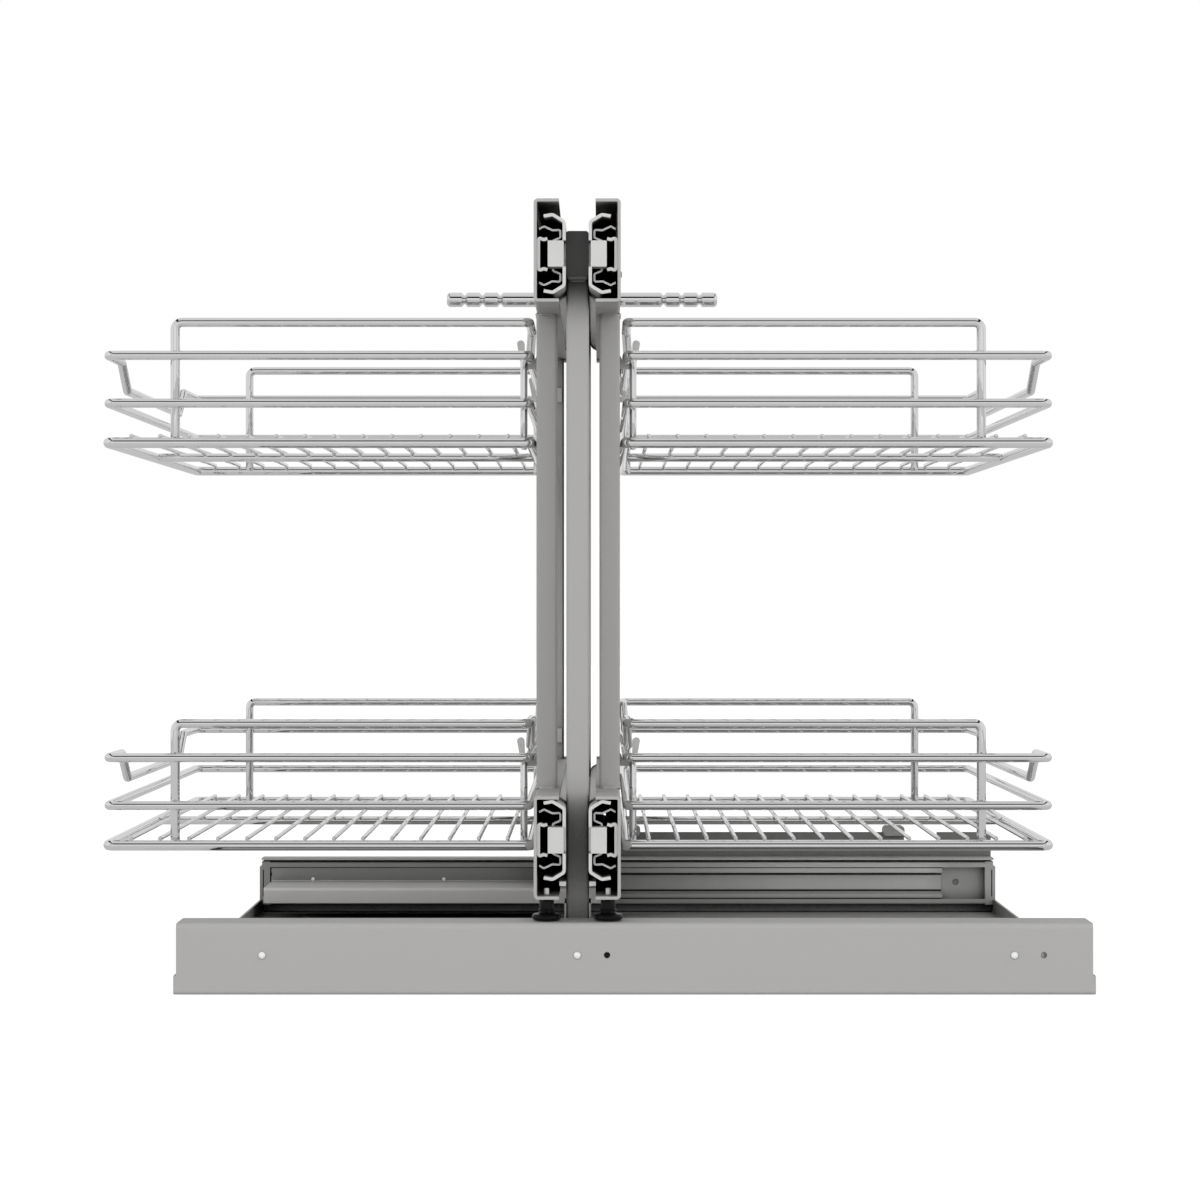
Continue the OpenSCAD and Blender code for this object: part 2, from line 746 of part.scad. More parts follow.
module foot_brackets() {
    wall_x = (tube_w + bracket_sheet) / 2;
    color(slide_grey) on_frame() both_ends() difference() {
        along_depth(post_setback, post_setback + tube_d)
            strip([[-wall_x, shelf_z + bracket_h], [-wall_x, shelf_z + bracket_sheet / 2],
                [wall_x, shelf_z + bracket_sheet / 2], [wall_x, shelf_z + bracket_h]],
                bracket_sheet, bracket_sheet / 2 + run_gap);
        bolt_bore(-tube_w, tube_w, bolt_d + 2 * screw_clear);
    }
}

module bracket_bolts() {
    grip = tube_w / 2 + bracket_sheet;
    head_d = 1.8 * bolt_d;
    color(bright) on_frame() both_ends() {
        bolt_bore(-grip, grip + bolt_d, bolt_d);
        bolt_bore(-grip - 0.65 * bolt_d, -grip, head_d, $fn = 6);
        bolt_bore(grip, grip + 0.8 * bolt_d, head_d, $fn = 6);
    }
}

module centre_post() {
    color(steel_grey) difference() {
        translate([0, post_setback + tube_d / 2, post_foot_z])
            linear_extrude(top_rail_z - post_foot_z) tube_section(tube_w, tube_d);
        bolt_bore(-tube_w, tube_w, bolt_d + 2 * screw_clear);
    }
}

module centre_front_post() {
    on_frame() centre_post();
}

module centre_rear_post() {
    on_frame() flip_depth() centre_post();
}

module centre_top_rail() {
    color(steel_grey) on_frame() along_depth(cap_setback + cap_plate, top_rail_end)
        translate([0, frame_h - tube_d / 2]) tube_section(tube_w, tube_d);
}

module rail_cap() {
    inside = 2 * (tube_wall + seat_gap);
    translate([0, 0, frame_h - tube_d / 2]) {
        along_depth(0, cap_plate) round_rect(tube_w, tube_d, 2);
        along_depth(cap_plate, cap_plate + cap_plug)
            round_rect(tube_w - inside, tube_d - inside, 1);
    }
}

module top_rail_caps() {
    color(black) on_frame() {
        translate([0, cap_setback, 0]) rail_cap();
        translate([0, top_rail_end + cap_plate, 0]) mirror([0, 1, 0]) rail_cap();
    }
}

module centre_bottom_rail() {
    web_x = (tube_w - bottom_sheet) / 2;
    foot_z = bottom_rail_top - bottom_rail_h;
    hem_z = foot_z + 1.5 * bottom_sheet;
    color(steel_grey) on_frame()
        along_depth(post_setback + tube_d, base_d - post_setback - tube_d) {
            strip([[-bottom_rail_w / 2, hem_z], [-web_x, hem_z],
                [-web_x, bottom_rail_top - bottom_sheet / 2],
                [web_x, bottom_rail_top - bottom_sheet / 2],
                [web_x, hem_z], [bottom_rail_w / 2, hem_z]], bottom_sheet, 1.2);
            for (s = [0, 1]) mirror([s, 0]) translate([tube_w / 2, foot_z])
                square([(bottom_rail_w - tube_w) / 2, bottom_sheet]);
        }
}

module rear_stop_bar() {
    bar_r = bar_d / 2;
    half = concat([[0, bar_l / 2]], reverse(arc([bar_r - bar_end_r, bar_l / 2 - bar_end_r],
        bar_end_r, 0, 90)), [for (i = [1:groove_count]) let (mid = bar_l / 2 - i * groove_pitch)
            each [[bar_r, mid + groove_w / 2], [bar_r - groove_deep, mid + groove_floor / 2],
                [bar_r - groove_deep, mid - groove_floor / 2], [bar_r, mid - groove_w / 2]]]);
    color(bright) on_frame() translate([0, bar_y, frame_h + bar_r + seat_gap])
        rotate([0, 90, 0]) rotate_extrude()
            polygon(concat(half, [for (p = reverse(half)) [p.x, -p.y]]));
}

// Members of a rack slide, for the right side
module slide_track(z) {
    color(slide_grey) translate([tube_w / 2, 0, z]) difference() {
        along_depth(0, slide_l) track_section();
        translate([-cut, -cut, -window_v])
            cube([cut + track_gauge + cut, cut + runner_setback + cut, 2 * window_v]);
    }
}

module slide_runner(z) {
    color(slide_grey) translate([tube_w / 2, 0, z])
        along_depth(runner_setback, runner_setback + runner_l) runner_section();
}

module slide_rail(z) {
    color(slide_grey) translate([tube_w / 2, 0, z])
        along_depth(rail_setback, rail_setback + slide_l) rail_section();
}

module ball_cages() {
    color(bright) for (z = [upper_slide_z, lower_slide_z]) translate([tube_w / 2, 0, z]) {
        cage_rows(outer_ball, outer_ball_d, rack_travel / 2 + cage_margin,
            runner_setback + runner_l - cage_margin, ball_count);
        cage_rows(inner_ball, inner_ball_d, runner_setback + inner_cage_setback,
            rail_setback + slide_l - rack_travel / 2 - cage_margin, ball_count);
    }
}

module runner_bumpers() {
    color(bumper_grey) for (z = [upper_slide_z, lower_slide_z])
        translate([tube_w / 2 + (bumper_u[0] + bumper_u[1]) / 2, 0, z])
            along_depth(bumper_front, runner_setback)
                round_rect(bumper_u[1] - bumper_u[0], 2 * bumper_v, 0.6);
}

module left_upper_track() {
    on_left() slide_track(upper_slide_z);
}

module left_lower_track() {
    on_left() slide_track(lower_slide_z);
}

module right_upper_track() {
    on_frame() slide_track(upper_slide_z);
}

module right_lower_track() {
    on_frame() slide_track(lower_slide_z);
}

module left_upper_runner() {
    on_left() slide_runner(upper_slide_z);
}

module left_lower_runner() {
    on_left() slide_runner(lower_slide_z);
}

module right_upper_runner() {
    on_frame() slide_runner(upper_slide_z);
}

module right_lower_runner() {
    on_frame() slide_runner(lower_slide_z);
}

module left_upper_rail() {
    on_left() slide_rail(upper_slide_z);
}

module left_lower_rail() {
    on_left() slide_rail(lower_slide_z);
}

module right_upper_rail() {
    on_frame() slide_rail(upper_slide_z);
}

module right_lower_rail() {
    on_frame() slide_rail(lower_slide_z);
}

module left_ball_cages() {
    on_left() ball_cages();
}

module right_ball_cages() {
    on_frame() ball_cages();
}

module left_runner_bumpers() {
    on_left() runner_bumpers();
}

module right_runner_bumpers() {
    on_frame() runner_bumpers();
}

// Pieces of a rack, for the right side
module channel(z) {
    mid = channel_sheet / 2;
    lip_x = rack_face - channel_w;
    color(steel_grey) along_depth(0, channel_l)
        strip([[lip_x, z + mid], [rack_face - mid, z + mid],
            [rack_face - mid, z + channel_h - mid], [lip_x, z + channel_h - mid]],
            channel_sheet, 1.8);
}

module lower_channel() {
    difference() {
        channel(lower_channel_z);
        translate([foot_x, foot_setback, lower_channel_z - cut])
            cylinder(h = channel_sheet + 2 * cut, d = stud_d + 4 * screw_clear);
    }
}

module rack_post(y) {
    color(steel_grey) translate([rack_face - rack_post_w / 2, y + rack_post_d / 2, rack_post_z])
        linear_extrude(upper_channel_z - rack_post_z) tube_section(rack_post_w, rack_post_d);
}

module rack_foot() {
    top_z = lower_channel_z;
    disc_z = foot_z + foot_disc_h;
    edge_r = 2.2;
    ring_r = 0.7;
    ring_z = disc_z + 2.4;
    bore_r = stud_d / 2 + seat_gap;
    rim = [foot_d / 2 - edge_r, foot_z + edge_r];
    color(black) translate([foot_x, foot_setback, 0]) rotate_extrude()
        polygon(concat([[bore_r, foot_bore_z], [0, foot_bore_z], [0, foot_z], [rim.x, foot_z]],
            arc(rim, edge_r, -90, 90), [[stem_d / 2 + 1, disc_z], [stem_d / 2, disc_z + 1]],
            arc([stem_d / 2, ring_z], ring_r, -90, 90),
            [[stem_d / 2, top_z], [bore_r, top_z]]));
}

module foot_stud() {
    bevel = 0.6;
    stud_l = lower_channel_z + channel_sheet + stud_past - foot_bore_z;
    color(bright) translate([foot_x, foot_setback, foot_bore_z]) {
        cylinder(h = stud_l - bevel, d = stud_d);
        translate([0, 0, stud_l - bevel])
            cylinder(h = bevel, d1 = stud_d, d2 = stud_d - 1.5 * bevel);
    }
}

// A plate hook that holds a basket's inner top rail
module basket_hook(y, z) {
    root_x = rack_face - rack_post_w + tube_wall;
    shoulder = 4;
    slot_r = rail_r + 2 * seat_gap + 0.2;
    tongue_x = rail_x0 + slot_r;
    tongue_z = z + tongue_rise;
    sole_z = z - slot_r - hook_sole;
    lean = 0.4;
    toe = 1.8;
    color(pad_grey) along_depth(y, y + hook_t) difference() {
        union() {
            polygon([[root_x, sole_z], [tongue_x + toe / 2, sole_z],
                [tongue_x + 1.5 * toe, sole_z + toe],
                [tongue_x + tongue_w + lean, tongue_z], [tongue_x + lean, tongue_z],
                [tongue_x, z], [rail_x0 - slot_r, z], [rack_face - 1, z + shoulder],
                [root_x, z + shoulder]]);
            translate([tongue_x + lean + tongue_w / 2, tongue_z]) circle(d = tongue_w);
        }
        translate([rail_x0, z]) circle(r = slot_r);
    }
}

module basket_hooks() {
    for (z = [upper_floor_z, lower_floor_z]) {
        basket_hook(rack_post_setback + rack_post_d, z + top_rise);
        basket_hook(rack_rear_post_y - hook_t, z + top_rise);
    }
}

// Floor of a basket: the frame, the middle cross wire and the mesh
module basket_floor(z) {
    mesh_z = z + floor_r + mesh_wire / 2 - weld;
    mid_x = (floor_x0 + floor_x1) / 2;
    mid_y = (floor_y0 + floor_y1) / 2;
    color(bright) {
        wire([[floor_x0, floor_y0, z], [floor_x1, floor_y0, z], [floor_x1, floor_y1, z],
            [floor_x0, floor_y1, z]], floor_wire, wire_bend, true);
        rod([floor_x0, mid_y, z + floor_r - rail_r], [floor_x1, mid_y, z + floor_r - rail_r],
            rail_wire);
        for (i = [0:mesh_count - 1]) {
            x = mid_x + (i - (mesh_count - 1) / 2) * mesh_pitch;
            rod([x, floor_y0, mesh_z], [x, floor_y1, mesh_z], mesh_wire);
        }
    }
}

// A path with its sideways places times s, which is 1 at the right and -1 at the left
function across(path, s) = [for (p = path) [s * p.x, p.y, p.z]];

// A guard wire from its leg across the front, round the rack's corner and down to the top rail
module guard(z, s) {
    guard_z = z + guard_rise;
    end_y = leg_y + guard_run;
    wire(across([[leg_x, leg_y, z], [leg_x, leg_y, guard_z], [guard_x, leg_y, guard_z],
        [guard_x, end_y, guard_z], [guard_x, end_y, z + top_rise + rail_r - weld]], s),
        rail_wire, wire_bend);
}

// Sides of a basket: two rails, two guards and two inner uprights
module basket_frame(z, s) {
    mid_z = z + mid_rise;
    top_z = z + top_rise;
    dip_z = top_z - dip_drop;
    dip_y0 = rail_y0 + dip_front;
    dip_y1 = rail_y1 - dip_back;
    color(bright) on_frame() {
        wire(across([[rail_x0, rail_y0, mid_z], [rail_x1, rail_y0, mid_z],
            [rail_x1, rail_y1, mid_z], [rail_x0, rail_y1, mid_z]], s),
            rail_wire, wire_bend, true);
        wire(across([[rail_x0, rail_y0, top_z], [rail_x1, rail_y0, top_z],
            [rail_x1, dip_y0, top_z], [rail_x1, dip_y0 + dip_slope, dip_z],
            [rail_x1, dip_y1 - dip_slope, dip_z], [rail_x1, dip_y1, top_z],
            [rail_x1, rail_y1, top_z], [rail_x0, rail_y1, top_z]], s),
            rail_wire, wire_bend, true);
        guard(z, s);
        translate([0, floor_y0 + floor_y1, 0]) mirror([0, 1, 0]) guard(z, s);
        for (y = [floor_y0 + upright_in, floor_y1 - upright_in])
            rod([s * upright_x, y, z - floor_r], [s * upright_x, y, top_z], upright_wire);
    }
}

module left_upper_channel() {
    on_left() channel(upper_channel_z);
}

module left_lower_channel() {
    on_left() lower_channel();
}

module right_upper_channel() {
    on_frame() channel(upper_channel_z);
}

module right_lower_channel() {
    on_frame() lower_channel();
}

module left_front_post() {
    on_left() rack_post(rack_post_setback);
}

module left_rear_post() {
    on_left() rack_post(rack_rear_post_y);
}

module right_front_post() {
    on_frame() rack_post(rack_post_setback);
}

module right_rear_post() {
    on_frame() rack_post(rack_rear_post_y);
}

module left_foot() {
    on_left() rack_foot();
}

module left_foot_stud() {
    on_left() foot_stud();
}

module right_foot() {
    on_frame() rack_foot();
}

module right_foot_stud() {
    on_frame() foot_stud();
}

module left_basket_hooks() {
    on_left() basket_hooks();
}

module right_basket_hooks() {
    on_frame() basket_hooks();
}

module left_upper_basket() {
    basket_frame(upper_floor_z, -1);
}

module left_upper_floor() {
    on_left() basket_floor(upper_floor_z);
}

module left_lower_basket() {
    basket_frame(lower_floor_z, -1);
}

module left_lower_floor() {
    on_left() basket_floor(lower_floor_z);
}

module right_upper_basket() {
    basket_frame(upper_floor_z, 1);
}

module right_upper_floor() {
    on_frame() basket_floor(upper_floor_z);
}

module right_lower_basket() {
    basket_frame(lower_floor_z, 1);
}

module right_lower_floor() {
    on_frame() basket_floor(lower_floor_z);
}

base_pan();
front_rail_wall();
rear_rail_wall();
front_cross_track();
rear_cross_track();
back_stop_plate();
stop_pads();
wall_screws();
cross_runner_pair();
cross_ball_cages();
centre_front_post();
centre_rear_post();
centre_top_rail();
centre_bottom_rail();
top_rail_caps();
foot_brackets();
bracket_bolts();
carriage_rails();
carriage_ball_cages();
front_carriage_arm();
rear_carriage_arm();
rear_stop_bar();
left_upper_track();
left_lower_track();
right_upper_track();
right_lower_track();
left_upper_runner();
left_lower_runner();
left_ball_cages();
left_runner_bumpers();
right_upper_runner();
right_lower_runner();
right_ball_cages();
right_runner_bumpers();
left_upper_channel();
left_lower_channel();
left_front_post();
left_rear_post();
left_upper_rail();
left_lower_rail();
left_foot();
left_foot_stud();
left_basket_hooks();
left_upper_basket();
left_upper_floor();
left_lower_basket();
left_lower_floor();
right_upper_channel();
right_lower_channel();
right_front_post();
right_rear_post();
right_upper_rail();
right_lower_rail();
right_foot();
right_foot_stud();
right_basket_hooks();
right_upper_basket();
right_upper_floor();
right_lower_basket();
right_lower_floor();
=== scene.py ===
import math

import bmesh
import bpy
from mathutils import Matrix, Vector


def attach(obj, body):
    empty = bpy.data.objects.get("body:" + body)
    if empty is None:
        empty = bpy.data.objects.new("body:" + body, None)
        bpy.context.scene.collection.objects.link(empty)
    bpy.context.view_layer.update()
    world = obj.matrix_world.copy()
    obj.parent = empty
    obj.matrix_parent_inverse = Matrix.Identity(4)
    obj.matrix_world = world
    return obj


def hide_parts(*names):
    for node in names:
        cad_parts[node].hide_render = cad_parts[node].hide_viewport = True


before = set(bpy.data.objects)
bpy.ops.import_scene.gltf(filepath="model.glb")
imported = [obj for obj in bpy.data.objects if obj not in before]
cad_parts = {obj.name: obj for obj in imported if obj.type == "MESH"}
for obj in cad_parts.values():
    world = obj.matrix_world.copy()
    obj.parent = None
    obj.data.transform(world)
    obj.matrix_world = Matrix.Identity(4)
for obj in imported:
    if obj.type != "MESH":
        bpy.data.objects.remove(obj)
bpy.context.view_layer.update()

scene = bpy.context.scene

# The photograph is taken level and square to the front, from a little below the unit's middle
# height and a little to the right of its centre frame, with a long lens.
camera_data = bpy.data.cameras.new("photo_camera")
camera_data.lens = 85
camera_data.sensor_width = 36
camera_data.clip_end = 50
camera = bpy.data.objects.new("photo_camera", camera_data)
camera.location = (-0.0226, -2.096, 0.2583)
camera.rotation_euler = (math.radians(90), 0, 0)
scene.collection.objects.link(camera)
scene.camera = camera

# The studio: a white sweep with a soft shadow of the unit on its floor. Broad light comes from the
# front half of the room, less from behind. Chrome mirrors a pale room, the black frame of a light
# box overhead, and the dark seams between the side walls' light boxes.
scene.view_settings.view_transform = "Standard"


class Shade:
    """A socket of a finish's nodes. Sums, products and comparisons of it become Math nodes."""

    def __init__(self, finish, socket):
        self.finish = finish
        self.socket = socket

    def math(self, operation, *values, clamp=False):
        settings = {"operation": operation, "use_clamp": clamp}
        return self.finish.node("ShaderNodeMath", settings, dict(enumerate(values)))

    def __add__(self, other):
        return self.math("ADD", self, other)

    __radd__ = __add__

    def __sub__(self, other):
        return self.math("SUBTRACT", self, other)

    def __rsub__(self, other):
        return self.math("SUBTRACT", other, self)

    def __mul__(self, other):
        return self.math("MULTIPLY", self, other)

    __rmul__ = __mul__

    def __truediv__(self, other):
        return self.math("DIVIDE", self, other)

    def __rtruediv__(self, other):
        return self.math("DIVIDE", other, self)

    def __abs__(self):
        return self.math("ABSOLUTE", self)

    def __gt__(self, other):
        return self.math("GREATER_THAN", self, other)

    def __lt__(self, other):
        return self.math("LESS_THAN", self, other)

    def clamped(self):
        return self.math("ADD", self, 0.0, clamp=True)


class Finish:
    """A material or a world built node by node."""

    def __init__(self, owner):
        self.owner = owner
        owner.use_nodes = True
        self.tree = owner.node_tree
        self.tree.nodes.clear()

    def node(self, kind, settings=None, inputs=None, output=0):
        made = self.tree.nodes.new(kind)
        for name, value in (settings or {}).items():
            if name == "stops":
                ramp = made.color_ramp
                while len(ramp.elements) < len(value):
                    ramp.elements.new(0.5)
                for element, (position, grey) in zip(ramp.elements, value):
                    element.position = position
                    element.color = (grey, grey, grey, 1)
            else:
                setattr(made, name, value)
        for name, value in (inputs or {}).items():
            if isinstance(value, Shade):
                self.tree.links.new(value.socket, made.inputs[name])
            else:
                made.inputs[name].default_value = value
        return Shade(self, made.outputs[output]) if len(made.outputs) else None

    def part(self, vector, axis):
        """The X, Y or Z of a vector."""
        return self.node("ShaderNodeSeparateXYZ", None, {0: vector}, output=axis)

    def own_place(self):
        """Where a point lies on its own object, in metres."""
        return self.node("ShaderNodeTexCoord", output="Object")

    def ray(self, kind):
        """1 for rays of a kind and 0 for others."""
        return self.node("ShaderNodeLightPath", output=f"Is {kind} Ray")

    def mix(self, factor, low, high):
        """A colour between low and high."""
        return self.node("ShaderNodeMix", {"data_type": "RGBA"},
                         {0: factor, 6: low, 7: high}, output=2)

    def noise(self, scale, detail=3.0, rough=0.6, place=None):
        """Noise of the object's own place, with scale cells to the metre."""
        return self.node("ShaderNodeTexNoise", None, {
            "Vector": place or self.own_place(), "Scale": scale, "Detail": detail,
            "Roughness": rough})

    def tones(self, share, color, down, up):
        """A colour that wanders between down and up times its own brightness."""
        return self.mix(share, tuple(c * down for c in color) + (1,),
                        tuple(min(1, c * up) for c in color) + (1,))

    def close(self, skin, shade_reach=0.0, full=0.5, lit_fronts=False):
        """Ends a material. Hollows narrower than the given reach in metres, where less than the
        full share of the sky is seen, are painted near black as painted shade; if asked, faces
        that look to the front are spared and stay painted lit."""
        if shade_reach:
            reached = self.node("ShaderNodeAmbientOcclusion", {"samples": 6},
                                {"Distance": shade_reach}, output="AO")
            # Painted light: faces that look to the front are kept out of the painted shade.
            if lit_fronts:
                facing = self.part(self.node("ShaderNodeNewGeometry", output="Normal"), "Y")
                reached = reached + (facing < -0.85)
            # Painted shade: a near-black surface mixed in where the hollows are.
            painted_shade = self.node("ShaderNodeBsdfPrincipled", None, {
                "Base Color": (0.004, 0.004, 0.004, 1), "Roughness": 0.9,
                "Specular IOR Level": 0.0})
            skin = self.node("ShaderNodeMixShader", None, {
                0: ((reached - 0.12) / (full - 0.12)).clamped(), 1: painted_shade, 2: skin})
        self.node("ShaderNodeOutputMaterial", None, {"Surface": skin})
        return self.owner


studio = Finish(bpy.data.worlds.new("studio"))
scene.world = studio.owner
heading = studio.node("ShaderNodeTexCoord", output="Generated")
across, back, rise = (studio.part(heading, axis) for axis in "XYZ")
room = studio.node("ShaderNodeValToRGB", {"stops": [
    (0.0, 0.58), (0.06, 0.64), (0.2, 0.80), (0.5, 0.80), (0.72, 0.80), (0.9, 0.66),
    (1.0, 0.68)]}, {0: rise * 0.5 + 0.5})
room = studio.mix((back + 0.1) / 0.2, room, (0.74, 0.74, 0.74, 1))
above = rise > 0.05
depth_slope, side_slope = back / rise, abs(across / rise)
front_edge = (abs(depth_slope + 1.75) < 0.80) * (side_slope < 0.78)
side_edge = (abs(side_slope - 0.64) < 0.15) * (abs(depth_slope + 0.6) < 1.46)
frame_dark = above * (front_edge + side_edge).clamped()
room = studio.mix(frame_dark, room, (0.012, 0.012, 0.012, 1))
wall_line = abs(abs(across) * 0.819 + back * 0.331 + rise * 0.467 - 0.33) < 0.04
room = studio.mix(wall_line * (abs(across) > 0.3), room, (0.16, 0.16, 0.16, 1))
glow = studio.mix((0.5 - back * 0.6).clamped(), (0.75, 0.75, 0.75, 1), (1.58, 1.58, 1.58, 1))
glow = studio.mix(rise * 0.75, glow, (0.30, 0.30, 0.30, 1))
mirrored = (studio.ray("Glossy") + studio.ray("Transmission")).clamped()
sky = studio.mix(studio.ray("Camera"), studio.mix(mirrored, glow, room), (1, 1, 1, 1))
studio.node("ShaderNodeOutputWorld", None, {
    "Surface": studio.node("ShaderNodeBackground", None, {"Color": sky, "Strength": 1.0})})

floor_mesh = bpy.data.meshes.new("studio_floor")
floor_mesh.from_pydata([(-9, -9, 0), (9, -9, 0), (9, 9, 0), (-9, 9, 0)], [], [(0, 1, 2, 3)])
floor = bpy.data.objects.new("studio_floor", floor_mesh)
floor.location = (0, 0, -0.0006)
scene.collection.objects.link(floor)
white = Finish(bpy.data.materials.new("studio_white"))
clear = (white.ray("Camera") + white.ray("Transmission")).clamped()
lit = white.node("ShaderNodeBsdfDiffuse", None, {"Color": (0.35, 0.35, 0.35, 1)})
shine = white.node("ShaderNodeEmission", None, {
    "Color": (1, 1, 1, 1), "Strength": clear * 0.66 + white.ray("Glossy") * 0.12 + 0.18})
white.node("ShaderNodeOutputMaterial", None, {
    "Surface": white.node("ShaderNodeAddShader", None, {0: lit, 1: shine})})
floor_mesh.materials.append(white.owner)

for name, place, turn, size, power in (
        ("front", (0.3, -3.4, 0.8), (82, 0, 5), (3.2, 1.5), 26),
        ("left", (-2.6, -1.2, 1.0), (85, 0, -65), (1.4, 1.6), 6),
        ("right", (2.6, -1.2, 1.0), (85, 0, 65), (1.4, 1.6), 6)):
    lamp_data = bpy.data.lights.new("lamp_" + name, "AREA")
    lamp_data.shape = "RECTANGLE"
    lamp_data.size, lamp_data.size_y = size
    lamp_data.energy = power
    lamp = bpy.data.objects.new("lamp_" + name, lamp_data)
    lamp.location = place
    lamp.rotation_euler = [math.radians(a) for a in turn]
    lamp.visible_glossy = False
    scene.collection.objects.link(lamp)

# The folded pan, its walls, the arms, the tubes and the rack channels are cut and bent from mild
# steel sheet and welded tube, then powder coated in a mid grey with a faint orange peel.


def coat(name, color, roughness, peel, shade_reach=0.03, full=0.5, shade_above=None):
    """A powder coat or paint with a fine orange peel and slow changes of tone. Above a given
    height it may be painted a darker colour, as painted shade. Its hollows are painted in shade."""
    finish = Finish(bpy.data.materials.new(name))
    slow = finish.noise(9.0)
    bump = finish.node("ShaderNodeBump", None, {
        "Strength": peel, "Distance": 0.0002, "Height": finish.noise(900.0, 2.0, 0.5)})
    tint = finish.tones(slow * 0.8 + finish.noise(260.0) * 0.2, color, 0.98, 1.02)
    # Painted shade: a darker colour above the given height.
    if shade_above:
        height = finish.part(finish.own_place(), "Z")
        tint = finish.mix(height > shade_above[0], tint, shade_above[1] + (1,))
    skin = finish.node("ShaderNodeBsdfPrincipled", None, {
        "Base Color": tint, "Roughness": slow * 0.08 + (roughness - 0.04), "Normal": bump,
        "Specular IOR Level": 0.35})
    return finish.close(skin, shade_reach, full)


def dress(material, *names):
    """Gives CAD nodes their finish."""
    for name in names:
        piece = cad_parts[name]
        piece.data.materials.clear()
        piece.data.materials.append(material)


# The frame's coat, with its hollows in painted shade.
frame_steel = coat("frame_steel", (0.400, 0.396, 0.388), 0.45, 0.2)
dress(frame_steel, "rear_rail_wall", "centre_top_rail")
dress(coat("wall_steel", (0.400, 0.396, 0.388), 0.45, 0.2, 0.0), "front_rail_wall")
# The posts' coat is painted a little darker than the frame's as painted shade, with a deeper shade
# in their hollows.
dress(coat("post_steel", (0.375, 0.371, 0.364), 0.45, 0.2, 0.07, 0.7), "centre_front_post",
      "centre_rear_post")
# The arms' coat is painted lighter than the frame's as painted light, and darker above 28.5 mm as
# painted shade.
dress(coat("arm_steel", (0.56, 0.555, 0.545), 0.45, 0.2, 0.06, 0.8,
           shade_above=(0.0285, (0.29, 0.29, 0.285))), "front_carriage_arm", "rear_carriage_arm")
# The pan's coat is painted darker than the frame's, and its deep floor is painted in shade.
dress(coat("pan_steel", (0.36, 0.356, 0.35), 0.5, 0.2, 0.12), "base_pan")
# Painted shade: the stop plate's coat is painted much darker than the frame's, for the shade under
# the baskets.
dress(coat("stop_plate_shade_steel", (0.16, 0.16, 0.157), 0.5, 0.2), "back_stop_plate")
# Painted light: the bottom rail's coat is painted far lighter than the frame's, for light that
# reaches it.
dress(coat("bottom_rail_lit_steel", (0.75, 0.75, 0.74), 0.45, 0.2, 0.0), "centre_bottom_rail")

# Six round-headed screws hold the cross tracks to the walls. They are turned steel with a pale
# zinc plating, and their low domed heads stand on thin grey washers on the walls' outer faces.
# The washers' darker grey is a painted shadow ring around each head.
park_x = -37.5
half_depth = 243.0
slide_z = 26.0


def skin_rings(mesh, rings, closed=False):
    """Joins rings of points to a skin, with flat ends if it is open."""
    rings = [[mesh.verts.new(point) for point in ring] for ring in rings]
    for low, high in zip(rings, rings[1:] + rings[:1] if closed else rings[1:]):
        for i in range(len(low)):
            j = (i + 1) % len(low)
            mesh.faces.new((low[i], low[j], high[j], high[i]))
    if not closed:
        mesh.faces.new(list(reversed(rings[0])))
        mesh.faces.new(rings[-1])


def turn_piece(mesh, foot, axis, profile, sides=32):
    """A lathe-turned form: profile gives distances along the axis from its foot, and radii."""
    foot, axis = Vector(foot), Vector(axis).normalized()
    side = axis.orthogonal().normalized()
    other = axis.cross(side)
    skin_rings(mesh, [[foot + axis * t + (side * math.cos(a) + other * math.sin(a)) * r
                       for a in (2 * math.pi * k / sides for k in range(sides))]
                      for t, r in profile])


def hang_piece(name, mesh, hand, body, material, slot, *nodes, crease=35):
    """Puts a piece made in millimetres, from the centre frame's middle and the front wall's
    face, on its side of the unit and on its body."""
    sign = -1 if hand == "left" else 1
    for vert in mesh.verts:
        x, y, z = vert.co
        vert.co = Vector((park_x + sign * x, y - half_depth, z)) / 1000
    bmesh.ops.recalc_face_normals(mesh, faces=mesh.faces)
    for face in mesh.faces:
        face.smooth = True
    for edge in mesh.edges:
        if len(edge.link_faces) == 2 and edge.calc_face_angle(0) > math.radians(crease):
            edge.smooth = False
    data = bpy.data.meshes.new(name)
    mesh.to_mesh(data)
    mesh.free()
    data.materials.append(material)
    piece = bpy.data.objects.new(name, data)
    scene.collection.objects.link(piece)
    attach(piece, body)
    if nodes:
        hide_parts(*nodes)


def plated(name, color, roughness, spread=0.05, shade_reach=0.0):
    """Bright plating with faint tarnish in slow patches."""
    finish = Finish(bpy.data.materials.new(name))
    slow = finish.noise(60.0)
    skin = finish.node("ShaderNodeBsdfPrincipled", None, {
        "Base Color": finish.tones(slow, color, 0.95, 1.03), "Metallic": 1.0,
        "Roughness": slow * spread + roughness})
    return finish.close(skin, shade_reach)


